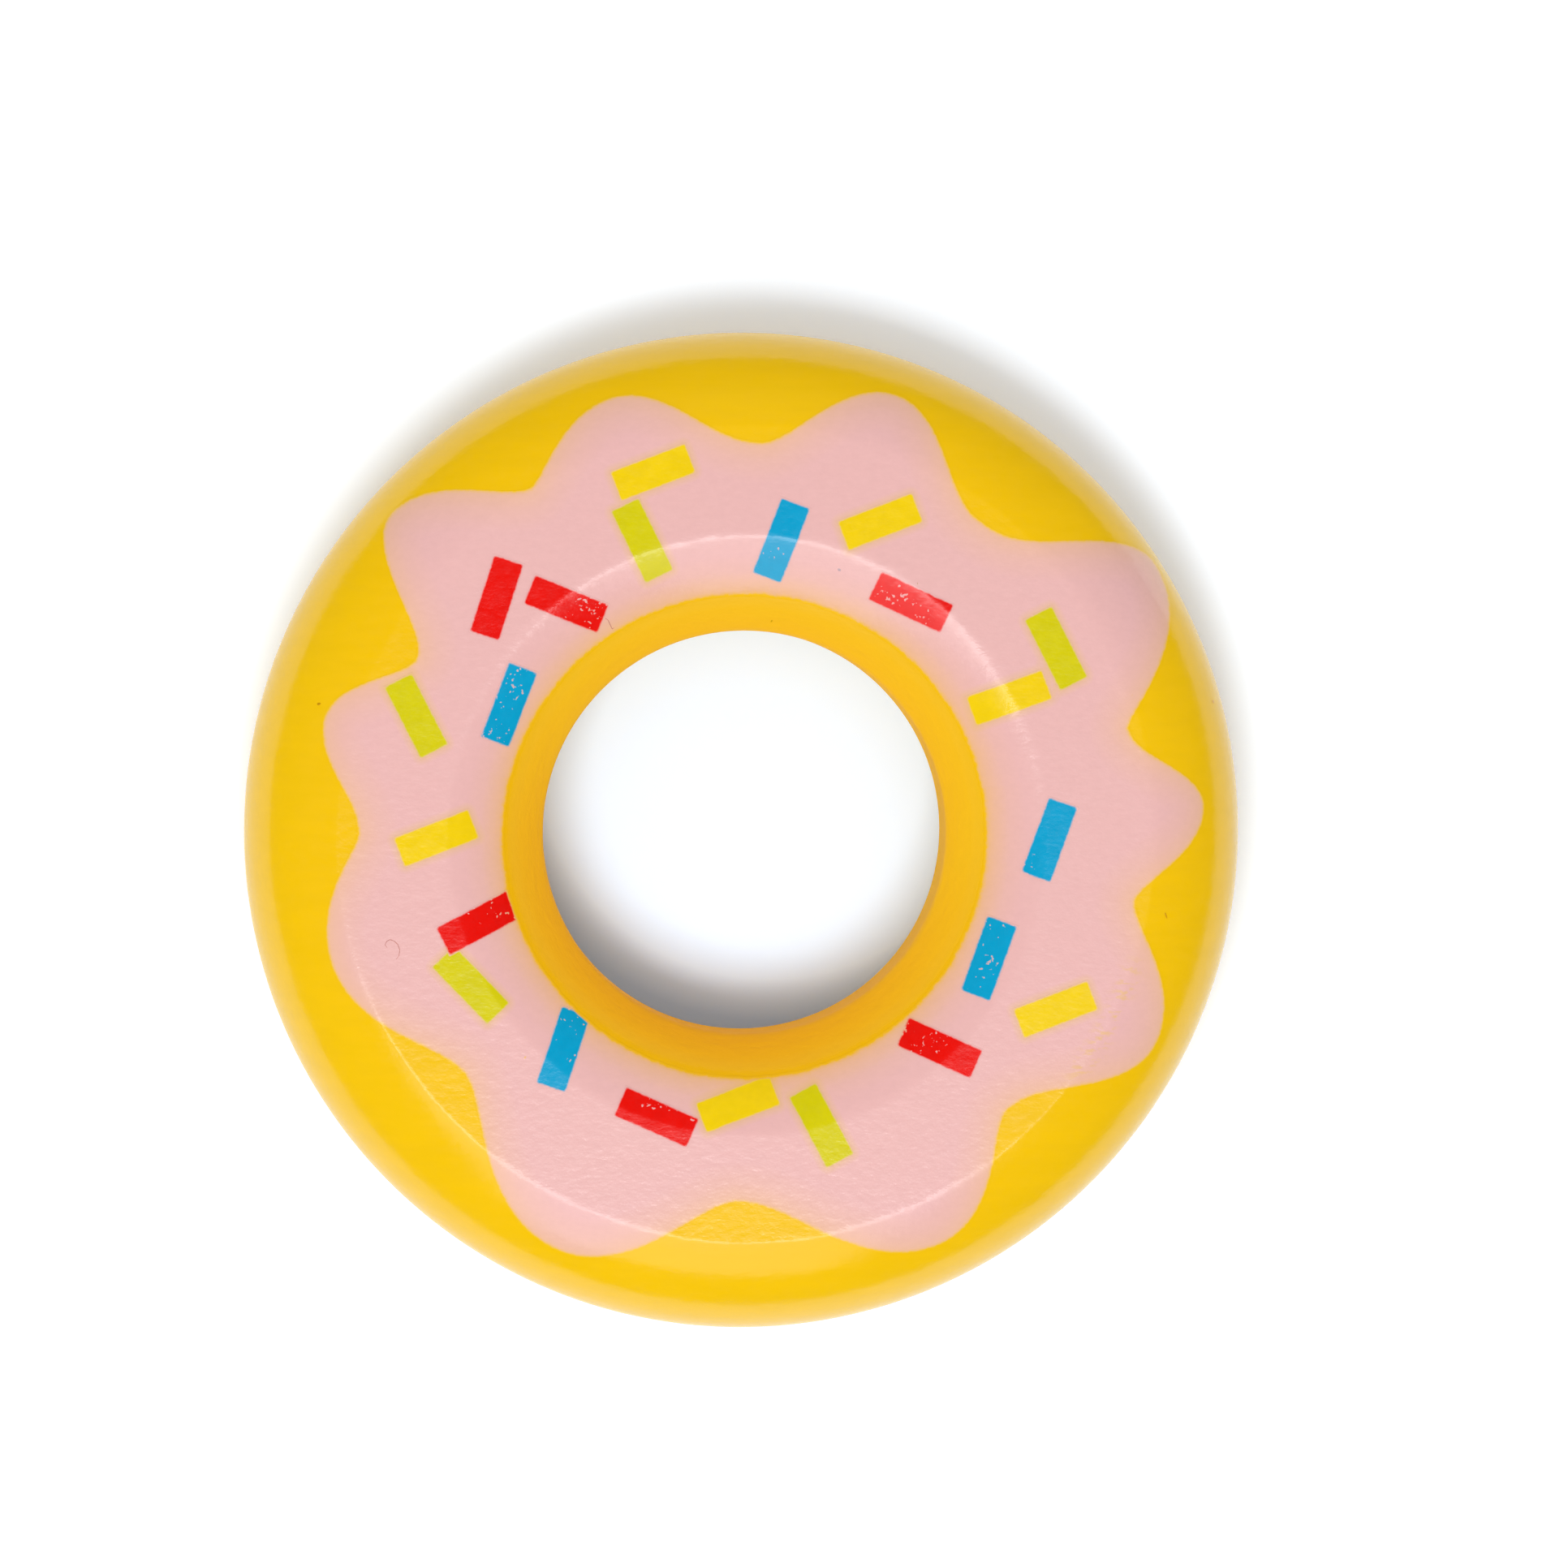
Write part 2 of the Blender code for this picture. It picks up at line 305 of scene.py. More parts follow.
class TopRound:
    """One rounded side of the top: +1 towards the rim, -1 towards the hole.

    Distances are measured across the side, from where the flat would end in a sharp crease.
    """

    def __init__(self, side, crease_radius, wall_radius, edge_slope, edge_radius):
        self.side = side
        self.crease = crease_radius
        self.edge_slope = edge_slope
        self.edge_radius = edge_radius
        width = abs(wall_radius - crease_radius) - edge_radius * (1 - math.sin(edge_slope))
        self.radius = width / (math.sin(edge_slope) - math.sin(CREASE_SLOPE))
        self.centre = -self.radius * math.sin(CREASE_SLOPE)
        self.centre_height = THICKNESS - self.radius * math.cos(CREASE_SLOPE)
        rise = THICKNESS - CREASE_ROUNDING - self.centre_height
        self.start = self.centre + math.sqrt((self.radius - CREASE_ROUNDING) ** 2 - rise**2)
        self.join_slope = math.atan2(self.start - self.centre, rise)
        self.join = self.start + CREASE_ROUNDING * math.sin(self.join_slope)
        self.edge = self.centre + self.radius * math.sin(edge_slope)

    def at_slope(self, slope):
        """(ring radius, height) where the surface has fallen away by that angle."""
        if slope < self.join_slope:
            across = self.start + CREASE_ROUNDING * math.sin(slope)
            height = THICKNESS - CREASE_ROUNDING * (1 - math.cos(slope))
        else:
            broad = min(slope, self.edge_slope)
            across = self.centre + self.radius * math.sin(broad)
            height = self.centre_height + self.radius * math.cos(broad)
            across += self.edge_radius * (math.sin(slope) - math.sin(broad))
            height -= self.edge_radius * (math.cos(broad) - math.cos(slope))
        return self.crease + self.side * across, height

    def slope_at(self, radius):
        across = self.side * (radius - self.crease)
        if across <= self.start:
            return 0.0
        if across < self.join:
            return math.asin((across - self.start) / CREASE_ROUNDING)
        if across < self.edge:
            return math.asin((across - self.centre) / self.radius)
        sine = math.sin(self.edge_slope) + (across - self.edge) / self.edge_radius
        return math.asin(min(1.0, sine))


RIM = TopRound(1, FLAT_OUTER_RADIUS, OUTER_RADIUS, RIM_EDGE_SLOPE, RIM_EDGE_RADIUS)
HOLE = TopRound(-1, FLAT_INNER_RADIUS, HOLE_RADIUS, HOLE_EDGE_SLOPE, HOLE_EDGE_RADIUS)


def top_at(radius):
    """(height, slope) of the wood's top there; the slope is positive where it falls outwards."""
    rounding = RIM if radius > (FLAT_INNER_RADIUS + FLAT_OUTER_RADIUS) / 2 else HOLE
    slope = rounding.slope_at(radius)
    if slope == 0.0:
        return THICKNESS, 0.0
    return rounding.at_slope(slope)[1], rounding.side * slope


def crease_shift(radius, angle):
    """How far the crease wanders off its circle there."""
    shift = 0.0
    for crease in (FLAT_INNER_RADIUS, FLAT_OUTER_RADIUS):
        reach = math.exp(-(((radius - crease) / CREASE_WANDER_REACH) ** 2))
        spot = Vector((math.cos(angle), math.sin(angle), crease / MM))
        shift += reach * (noise(spot * 7) + 0.7 * noise(spot * 23))
    return shift * CREASE_WANDER


def on_ring(radius, height, slope, angle, lift=0.0):
    """The point at that place of the section and angle round the ring, with its relief."""
    around = Vector((math.cos(angle), math.sin(angle), 0))
    normal = around * math.sin(slope) + Vector((0, 0, math.cos(slope)))
    shifted = radius + (crease_shift(radius, angle) if height > THICKNESS / 2 else 0.0)
    point = around * shifted + Vector((0, 0, height))
    cell = Vector((point.x * RELIEF_STRETCH, point.y, point.z)) / RELIEF_SIZE
    relief = -RELIEF * (1 + noise(cell) + 0.6 * noise(cell * 2.3))
    return point + normal * (relief + lift)


def on_top(radius, angle, lift):
    height, slope = top_at(radius)
    return on_ring(radius, height, slope, angle, lift)


def over(spot, lift):
    """The point that far over the wood's top at that flat spot."""
    return on_top(spot.length, math.atan2(spot.y, spot.x), lift)


def even(first, last, steps):
    """The numbers from first to last in that many steps, without the last one."""
    return [first + (last - first) * step / steps for step in range(steps)]


def half_section(rounding):
    """(radius, height, slope) from the end of the flat top over the side to the flat underside."""
    turns = (0.0, rounding.join_slope, rounding.edge_slope, math.pi / 2)
    places = []
    for first, last, steps in zip(turns, turns[1:], UPPER_STEPS):
        places += [(*rounding.at_slope(slope), slope) for slope in even(first, last, steps)]
    wall_radius, wall_top = rounding.at_slope(math.pi / 2)
    for height in even(wall_top, THICKNESS - wall_top, WALL_STEPS):
        places.append((wall_radius, height, math.pi / 2))
    slopes = []
    for last, first, steps in zip(turns, turns[1:], LOWER_STEPS):
        slopes = even(first, last, steps) + slopes
    for slope in slopes + [0.0]:
        radius, height = rounding.at_slope(slope)
        places.append((radius, THICKNESS - height, math.pi - slope))
    return [(radius, height, rounding.side * slope) for radius, height, slope in places]


def ring_section():
    """The whole section as a closed loop of (radius, height, slope), starting on the flat top."""
    outer, inner = half_section(RIM), half_section(HOLE)
    top = even(inner[0][0], outer[0][0], TOP_FLAT_STEPS)[1:]
    bottom = even(outer[-1][0], inner[-1][0], BOTTOM_FLAT_STEPS)[1:]
    top_flat = [(radius, THICKNESS, 0.0) for radius in top]
    underside = [(radius, 0.0, math.pi) for radius in bottom]
    return top_flat + outer + underside + inner[::-1]


def add_piece(name, points, faces, uvs, material, node_name, numbers=None):
    """A piece with smooth shading, one UV per face corner and any numbers per point by name."""
    mesh = bpy.data.meshes.new(name)
    mesh.from_pydata([tuple(point) for point in points], [], faces)
    layer = mesh.uv_layers.new(name="OFBake")
    layer.data.foreach_set("uv", [value for corner in uvs for value in corner])
    for key, values in (numbers or {}).items():
        mesh.attributes.new(key, "FLOAT", "POINT").data.foreach_set("value", values)
    mesh.materials.append(material)
    mesh.shade_smooth()
    mesh.set_sharp_from_angle(angle=SMOOTH_ANGLE)
    mesh.validate()
    piece = bpy.data.objects.new(name, mesh)
    bpy.context.collection.objects.link(piece)
    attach(piece, "root")
    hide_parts(node_name)
    return piece


def loft(rows, columns):
    """Faces and UVs of a grid of points whose rows and columns both close."""
    faces, uvs = [], []
    for row in range(rows):
        here, ahead = row * columns, (row + 1) % rows * columns
        for column in range(columns):
            right = (column + 1) % columns
            faces.append((here + column, ahead + column, ahead + right, here + right))
            u0, u1 = column / columns, (column + 1) / columns
            v0, v1 = row / rows, (row + 1) / rows
            uvs += [(u0, v0), (u0, v1), (u1, v1), (u1, v0)]
    return faces, uvs


def make_ring(material):
    section = ring_section()
    points = []
    for place in section:
        points += [on_ring(*place, 2 * math.pi * column / COLUMNS) for column in range(COLUMNS)]
    faces, uvs = loft(len(section), COLUMNS)
    return add_piece("turned_ring", points, faces, uvs, material, "ring")


def turn_between(first, last):
    """Degrees from one angle to the next, counterclockwise."""
    return (last - first) % 360


def icing_sides():
    """Each flank of the lobes: start angle, sweep, low and high radius, fullness, and if it rises."""
    sides = []
    for index, (lobe, radius, before, after, valley, low) in enumerate(ICING_LOBES):
        last_valley, last_low = ICING_LOBES[index - 1][4:]
        sides.append((last_valley, turn_between(last_valley, lobe), last_low, radius, before, True))
        sides.append((lobe, turn_between(lobe, valley), low, radius, after, False))
    return sides


ICING_SIDES = icing_sides()


def icing_edge(angle):
    """Radius of the icing's outer edge at that angle in degrees."""
    for start, sweep, low, high, fullness, rising in ICING_SIDES:
        turned = turn_between(start, angle)
        if turned <= sweep:
            share = turned / sweep if rising else 1 - turned / sweep
            return (low + (high - low) * math.sin(math.pi / 2 * share**fullness) ** 2) * MM
    raise ValueError(f"no side of a lobe at {angle} degrees")


def icing_inside(angle):
    """Radius of the icing's inner edge at that angle in radians, with the print's small teeth."""
    spot = Vector((math.cos(angle), math.sin(angle), 0.5))
    teeth = max(0.0, noise(spot * 13)) + 0.5 * noise(spot * 31)
    offset = ICING_INNER_CENTRE.dot(Vector((math.cos(angle), math.sin(angle))))
    return ICING_INNER_RADIUS + INNER_SHIFT + offset + INNER_TEETH * teeth


def outline_tree():
    """Points along the icing's outer edge, to measure distances from it."""
    tree = KDTree(OUTLINE_STEPS)
    for step in range(OUTLINE_STEPS):
        angle = 2 * math.pi * step / OUTLINE_STEPS
        radius = icing_edge(math.degrees(angle))
        tree.insert((radius * math.cos(angle), radius * math.sin(angle), 0), step)
    tree.balance()
    return tree


OUTLINE = outline_tree()


def inside_sprinkle(place, side):
    """How far inside a sprinkle that place along and across it lies; below 0 outside."""
    long_way = abs(place) - SPRINKLE_LENGTH / 2 + SPRINKLE_CORNER
    wide_way = abs(side) - SPRINKLE_WIDTH / 2 + SPRINKLE_CORNER
    outside = math.hypot(max(0.0, long_way), max(0.0, wide_way))
    return SPRINKLE_CORNER - outside - min(0.0, max(long_way, wide_way))


def bleeding_sprinkles():
    """(centre, way along) of each green and yellow sprinkle."""
    places = []
    for x, y, degrees in SPRINKLES["green"] + SPRINKLES["yellow"]:
        angle = math.radians(degrees)
        places.append((Vector((x * MM, y * MM)), Vector((math.cos(angle), math.sin(angle)))))
    return places


BLEEDING = bleeding_sprinkles()


def print_numbers(spots):
    """For each flat spot how far it lies inside the icing's outer edge, inside its inner edge and
    inside the nearest sprinkle that bleeds, in millimetres."""
    edge, inside, bleed = [], [], []
    for spot in spots:
        angle = math.atan2(spot.y, spot.x)
        away = OUTLINE.find((spot.x, spot.y, 0))[2] / MM
        edge.append(away if spot.length < icing_edge(math.degrees(angle)) else -away)
        inside.append((spot.length - icing_inside(angle)) / MM)
        near = -2 * HALO_WIDTH
        for centre, along in BLEEDING:
            offset = spot - centre
            if offset.length < HALO_SEARCH:
                near = max(near, inside_sprinkle(offset.dot(along), offset.cross(along)) / MM)
        bleed.append(near)
    return {"edge_mm": edge, "inside_mm": inside, "bleed_mm": bleed}


def fleck_share(spot):
    """Where the yellow breaks through the pink along the outer crease, from 0 to 1."""
    start, end = FLECK_TURNS
    turned = turn_between(start, math.degrees(math.atan2(spot.y, spot.x)))
    sweep = turn_between(start, end)
    if turned > sweep:
        return 0.0
    across = (spot.length - FLAT_OUTER_RADIUS) / FLECK_WIDTH
    return math.exp(-(across**2)) * min(1.0, 6 * turned / sweep, 6 * (1 - turned / sweep))


def print_rows(inner, outer):
    """Radii from the inner edge to the outer one, close together along both edges."""
    reach = PRINT_EDGE_ROWS[-1]
    rows = [inner + step for step in PRINT_EDGE_ROWS]
    rows += even(inner + reach, outer - reach, PRINT_MIDDLE_ROWS)[1:]
    return rows + [outer - step for step in PRINT_EDGE_ROWS[::-1]]


def make_icing(material):
    turns = [2 * math.pi * column / PRINT_COLUMNS for column in range(PRINT_COLUMNS)]
    columns = []
    for turn in turns:
        outer = icing_edge(math.degrees(turn)) + PRINT_MARGIN
        columns.append(print_rows(icing_inside(turn) - PRINT_MARGIN, outer))
    rows = len(columns[0])
    points, spots = [], []
    for lift, order in ((PRINT_LIFT, range(rows)), (-PRINT_DEPTH, reversed(range(rows)))):
        for row in order:
            for turn, radii in zip(turns, columns):
                points.append(on_top(radii[row], turn, lift))
                spots.append(Vector((math.cos(turn), math.sin(turn))) * radii[row])
    faces, uvs = loft(2 * rows, PRINT_COLUMNS)
    numbers = print_numbers(spots)
    numbers["flecks"] = [fleck_share(spot) for spot in spots]
    return add_piece("icing_print", points, faces, uvs, material, "icing", numbers)


def reach_of_row(start, along):
    """How far from start along that direction the icing's inner edge is met, or None."""
    offset = start - ICING_INNER_CENTRE
    b = offset.dot(along)
    c = offset.length_squared - (ICING_INNER_RADIUS - PRINT_MARGIN / 2) ** 2
    if b * b < c:
        return None
    return -b - math.sqrt(b * b - c)


def sprinkle_points(centre, direction, lift):
    """The grid of one sprinkle with its margin, cut off at the icing's inner edge."""
    long_cells, wide_cells = SPRINKLE_CELLS
    along = Vector((math.cos(direction), math.sin(direction)))
    if (centre - along).length < (centre + along).length:
        along = -along
    across = Vector((-along.y, along.x))
    half = SPRINKLE_LENGTH / 2 + SPRINKLE_MARGIN
    points, spots, rims = [], [], []
    for wide in range(wide_cells + 1):
        side = (2 * wide / wide_cells - 1) * (SPRINKLE_WIDTH / 2 + SPRINKLE_MARGIN)
        met = reach_of_row(centre + across * side, along)
        last = half if met is None else min(half, met)
        for long in range(long_cells + 1):
            place = -half + (last + half) * long / long_cells
            spot = centre + across * side + along * place
            points.append(over(spot, lift))
            spots.append(spot)
            rims.append(inside_sprinkle(place, side) / MM)
    return points, spots, rims


def make_sprinkles(colour, material):
    long_cells, wide_cells = SPRINKLE_CELLS
    stride = long_cells + 1
    layer_size = stride * (wide_cells + 1)
    border = [(0, long) for long in range(long_cells)]
    border += [(wide, long_cells) for wide in range(wide_cells)]
    border += [(wide_cells, long) for long in range(long_cells, 0, -1)]
    border += [(wide, 0) for wide in range(wide_cells, 0, -1)]
    points, faces, uvs, spots, rims = [], [], [], [], []
    places = SPRINKLES[colour]
    for index, (x, y, degrees) in enumerate(places):
        base = len(points)
        centre = Vector((x * MM, y * MM))
        for lift in (SPRINKLE_LIFTS[colour], 0.0):
            grid, flat, rim = sprinkle_points(centre, math.radians(degrees), lift)
            points += grid
            spots += flat
            rims += rim

        def corner(layer, wide, long):
            return base + layer * layer_size + wide * stride + long

        def place_on_map(layer, wide, long):
            return (
                (index + 0.05 + 0.9 * long / long_cells) / len(places),
                0.5 * layer + 0.05 + 0.4 * wide / wide_cells,
            )

        for wide in range(wide_cells):
            for long in range(long_cells):
                square = [(wide, long), (wide, long + 1), (wide + 1, long + 1), (wide + 1, long)]
                faces.append([corner(0, *spot) for spot in square])
                uvs += [place_on_map(0, *spot) for spot in square]
                faces.append([corner(1, *spot) for spot in reversed(square)])
                uvs += [place_on_map(1, *spot) for spot in reversed(square)]
        for first, second in zip(border, border[1:] + border[:1]):
            strip = [(0, *second), (0, *first), (1, *first), (1, *second)]
            faces.append([corner(*spot) for spot in strip])
            uvs += [place_on_map(0, *spot[1:]) for spot in strip]
    name = f"{colour}_sprinkles"
    numbers = print_numbers(spots)
    numbers["rim_mm"] = rims
    return add_piece(name, points, faces, uvs, material, "icing", numbers)


def make_speck(name, x, y, length, width, degrees, colour):
    """A flat grain of dust in the lacquer, thickest in its middle."""
    turn = math.radians(degrees)
    along = Vector((math.cos(turn), math.sin(turn))) * length
    across = Vector((-math.sin(turn), math.cos(turn))) * width
    centre = Vector((x, y)) * MM
    points = [over(centre, SPECK_LIFT)]
    for step in range(SPECK_SIDES):
        angle = 2 * math.pi * step / SPECK_SIDES
        reach = 0.5 * MM * (1 + 0.3 * noise(Vector((x + step, y, 0.5)) * 1.7))
        spot = centre + (along * math.cos(angle) + across * math.sin(angle)) * reach
        points.append(over(spot, SPECK_RIM_LIFT))
    points.append(over(centre, -SPECK_LIFT))
    faces, uvs = [], []
    for step in range(SPECK_SIDES):
        first, second = step + 1, (step + 1) % SPECK_SIDES + 1
        faces += [(0, first, second), (SPECK_SIDES + 1, second, first)]
        u0, u1 = step / SPECK_SIDES, (step + 1) / SPECK_SIDES
        for shift in (0.0, 0.5):
            uvs += [(u0, shift + 0.4), (u0, shift + 0.1), (u1, shift + 0.1)]
    material = dust_material(name, colour)
    return add_piece(name, points, faces, uvs, material, "ring")


def make_hair(name, places):
    """A thin tube through those places, lying in the lacquer, with closed ends."""
    knots = [Vector(place) * MM for place in places]
    spots = []
    for start, end in zip(knots, knots[1:]):
        spots += [start.lerp(end, step / HAIR_STEPS) for step in range(HAIR_STEPS)]
    spots.append(knots[-1])
    points, faces, uvs = [], [], []
    rings = len(spots)
    for index, spot in enumerate(spots):
        way = (spots[min(index + 1, rings - 1)] - spots[max(index - 1, 0)]).normalized()
        aside = Vector((-way.y, way.x))
        thick = HAIR_RADIUS * (0.5 + 0.5 * math.sin(math.pi * (index + 1) / (rings + 1)))
        for side in range(HAIR_SIDES):
            angle = 2 * math.pi * side / HAIR_SIDES
            place = spot + aside * thick * math.cos(angle)
            points.append(over(place, PRINT_LIFT + thick * math.sin(angle)))
    for index in range(rings - 1):
        for side in range(HAIR_SIDES):
            beside = (side + 1) % HAIR_SIDES
            here, ahead = index * HAIR_SIDES, (index + 1) * HAIR_SIDES
            faces.append((here + side, here + beside, ahead + beside, ahead + side))
            u0, u1 = index / rings, (index + 1) / rings
            v0, v1 = side / HAIR_SIDES, (side + 1) / HAIR_SIDES
            uvs += [(u0, v0), (u0, v1), (u1, v1), (u1, v0)]
    last = (rings - 1) * HAIR_SIDES
    faces.append(tuple(reversed(range(HAIR_SIDES))))
    faces.append(tuple(last + side for side in range(HAIR_SIDES)))
    uvs += [(0.98, 0.5)] * (2 * HAIR_SIDES)
    material = dust_material(name, HAIR_COLOUR)
    return add_piece(name, points, faces, uvs, material, "icing")


class Nodes:
    """A material's node tree, with a short way to add nodes."""

    def __init__(self, name):
        self.material = bpy.data.materials.new(name)
        self.material.use_nodes = True
        self.tree = self.material.node_tree
        self.shader = self.tree.nodes["Principled BSDF"]

    def plug(self, value, socket):
        if isinstance(value, bpy.types.NodeSocket):
            self.tree.links.new(value, socket)
        else:
            socket.default_value = value

    def add(self, kind, inputs, **settings):
        node = self.tree.nodes.new(kind)
        for key, value in settings.items():
            setattr(node, key, value)
        for key, value in inputs.items():
            self.plug(value, node.inputs[key])
        return node

    def place(self, stretch=(1, 1, 1)):
        """The point on the object in millimetres, squeezed or stretched by axis."""
        point = self.add("ShaderNodeTexCoord", {}).outputs["Object"]
        scale = [factor / MM for factor in stretch]
        return self.add("ShaderNodeMapping", {"Vector": point, "Scale": scale}).outputs["Vector"]

    def number(self, name):
        return self.add("ShaderNodeAttribute", {}, attribute_name=name).outputs["Fac"]

    def noise(self, place, scale, detail=2.0, roughness=0.5):
        inputs = {"Vector": place, "Scale": scale, "Detail": detail, "Roughness": roughness}
        return self.add("ShaderNodeTexNoise", inputs).outputs["Fac"]

    def math(self, operation, first, second=0.5):
        node = self.add("ShaderNodeMath", {}, operation=operation)
        self.plug(first, node.inputs[0])
        self.plug(second, node.inputs[1])
        return node.outputs[0]

    def span(self, value, low, high, to_low=0.0, to_high=1.0):
        """That range of the value turned into the other one, and held at its ends."""
        node = self.add("ShaderNodeMapRange", {"Value": value, "From Min": low, "From Max": high})
        self.plug(to_low, node.inputs["To Min"])
        self.plug(to_high, node.inputs["To Max"])
        return node.outputs["Result"]

    def mix(self, share, first, second):
        node = self.add("ShaderNodeMix", {}, data_type="RGBA")
        self.plug(share, node.inputs[0])
        for value, socket in ((first, node.inputs[6]), (second, node.inputs[7])):
            self.plug((*value, 1) if isinstance(value, tuple) else value, socket)
        return node.outputs[2]

    def curve(self, value, stops):
        """A number that follows the (input, output) stops; the first two are the ends."""
        node = self.add("ShaderNodeValToRGB", {"Fac": value})
        ramp = node.color_ramp
        for index, (position, level) in enumerate(stops):
            stop = ramp.elements[index] if index < 2 else ramp.elements.new(position)
            stop.position = position
            stop.color = (level, level, level, 1)
        return node.outputs["Color"]


def within(nodes, reach, centre=(0, 0, 0)):
    """Rises from 0 at the reach's first flat distance from that centre to 1 at its last."""
    point = nodes.add("ShaderNodeTexCoord", {}).outputs["Object"]
    for operation, factor in (("SUBTRACT", centre), ("MULTIPLY", (1, 1, 0))):
        step = nodes.add("ShaderNodeVectorMath", {0: point, 1: factor}, operation=operation)
        point = step.outputs[0]
    length = nodes.add("ShaderNodeVectorMath", {0: point}, operation="LENGTH")
    return nodes.span(length.outputs["Value"], *reach)


def lacquered(nodes, colour, worn_hole=False):
    """Finishes a material as clear lacquer over that colour, with orange peel and the grain."""
    peel = nodes.noise(nodes.place((0.75, 1, 1)), 2.1, 2.5, 0.62)
    grain = nodes.noise(nodes.place((0.3, 1, 1)), 4.5, 2.0)
    height = nodes.math("ADD", peel, nodes.math("MULTIPLY", grain, GRAIN_SHARE))
    roughness = nodes.span(peel, 0.3, 0.7, *ROUGHNESS)
    if worn_hole:
        strokes = nodes.noise(nodes.place((0.25, 0.25, 1)), 2.2, 3.0, 0.65)
        strokes = nodes.math("MULTIPLY", strokes, within(nodes, STROKES_REACH))
        height = nodes.math("ADD", height, nodes.math("MULTIPLY", strokes, STROKES_SHARE))
        roughness = nodes.math("ADD", roughness, within(nodes, ROUGH_REACH))
        roughness = nodes.math("MINIMUM", roughness, WORN_ROUGHNESS)
    inputs = {"Height": height, "Strength": 1.0, "Distance": PEEL_DEPTH}
    bump = nodes.add("ShaderNodeBump", inputs)
    nodes.plug(bump.outputs["Normal"], nodes.shader.inputs["Normal"])
    nodes.plug(colour, nodes.shader.inputs["Base Color"])
    nodes.plug(roughness, nodes.shader.inputs["Roughness"])
    nodes.shader.inputs["IOR"].default_value = LACQUER_IOR
    return nodes.material


def times(colour, factor):
    return tuple(channel * factor for channel in colour)


def lacquer_colour(nodes):
    """The yellow, with the wood's streaks faintly in it, and deeper in the hole as painted shade,
    most on the hole's shaded side.
    """
    streaks = nodes.noise(nodes.place((0.12, 1, 0.5)), 1.1, 4.0, 0.6)
    colour = nodes.mix(nodes.span(streaks, 0.35, 0.65), times(YELLOW, 0.97), YELLOW)
    # painted shade: the hole is a deeper yellow, deepest on its side away from the lamp
    shaded_side = within(nodes, HOLE_SHADED_SIDE_REACH, LIT_SIDE_POINT)
    hole_shade_colour = nodes.mix(shaded_side, HOLE_SHADE_YELLOW, HOLE_SHADED_SIDE_YELLOW)
    return nodes.mix(within(nodes, HOLE_SHADE_REACH), colour, hole_shade_colour)


def wood_material():
    nodes = Nodes("lacquered_wood")
    return lacquered(nodes, lacquer_colour(nodes), worn_hole=True)


def printed_pink(nodes):
    """The icing's pink over the yellow, which shows through more and more towards its edges."""
    ragged = nodes.span(nodes.noise(nodes.place(), 3.0, 3.0, 0.6), 0.0, 1.0, -0.09, 0.09)
    outside = nodes.math("ADD", nodes.number("edge_mm"), ragged)
    inside = nodes.math("ADD", nodes.number("inside_mm"), nodes.math("MULTIPLY", ragged, 1.5))
    outer_share = nodes.curve(nodes.span(outside, *EDGE_SPAN), OUTER_EDGE_SHARE)
    inner_share = nodes.curve(nodes.span(inside, *EDGE_SPAN), INNER_EDGE_SHARE)
    share = nodes.math("MULTIPLY", outer_share, inner_share)
    cloud = nodes.noise(nodes.place((0.6, 1, 1)), 2.6, 3.0, 0.7)
    pink = nodes.mix(nodes.span(cloud, 0.35, 0.65), times(PINK, 0.985), times(PINK, 1.015))
    halo = nodes.span(nodes.number("bleed_mm"), -HALO_WIDTH, 0.0, 0.0, HALO_SHARE)
    pink = nodes.mix(halo, pink, HALO_YELLOW)
    return nodes.mix(share, lacquer_colour(nodes), pink)


def icing_material():
    nodes = Nodes("printed_icing")
    streaks = nodes.noise(nodes.place((0.45, 1, 1)), 2.4, 2.0, 0.6)
    broken = nodes.math("MULTIPLY", nodes.span(streaks, 0.50, 0.60), nodes.number("flecks"))
    broken = nodes.math("MULTIPLY", broken, FLECK_STRENGTH)
    return lacquered(nodes, nodes.mix(broken, printed_pink(nodes), FLECK_YELLOW))


def sprinkle_material(colour, holes=False):
    """Printed ink of one colour on the icing's pink, with clusters of pinholes if asked for."""
    nodes = Nodes(f"{colour}_ink")
    ink = SPRINKLE_COLOURS[colour]
    cloud = nodes.noise(nodes.place(), 1.5, 3.0)
    shade = nodes.mix(nodes.span(cloud, 0.35, 0.65), times(ink, 0.95), ink)
    pink = printed_pink(nodes)
    ragged = nodes.span(nodes.noise(nodes.place(), 3.0, 3.0, 0.6), 0.0, 1.0, -0.06, 0.06)
    rim = nodes.math("ADD", nodes.number("rim_mm"), ragged)
    if holes:
        spots = nodes.noise(nodes.place(), 3.6, 1.5)
        cluster = nodes.noise(nodes.place(), 0.5, 1.0)
        limit = nodes.span(cluster, 0.35, 0.65, 0.74, 0.60)
        limit = nodes.math("ADD", limit, within(nodes, NO_HOLES_REACH))
        open_spots = nodes.span(nodes.math("SUBTRACT", spots, limit), 0.0, 0.05, 0.0, 0.8)
        shade = nodes.mix(open_spots, shade, pink)
    on_icing = nodes.span(nodes.number("inside_mm"), -0.03, 0.06)
    inked = nodes.math("MULTIPLY", nodes.span(rim, -0.06, 0.06), on_icing)
    return lacquered(nodes, nodes.mix(inked, pink, shade))


def dust_material(name, colour):
    nodes = Nodes(name)
    cloud = nodes.noise(nodes.place(), 6.0, 2.0)
    shade = nodes.mix(nodes.span(cloud, 0.3, 0.7), colour, times(colour, 1.3))
    return lacquered(nodes, shade)


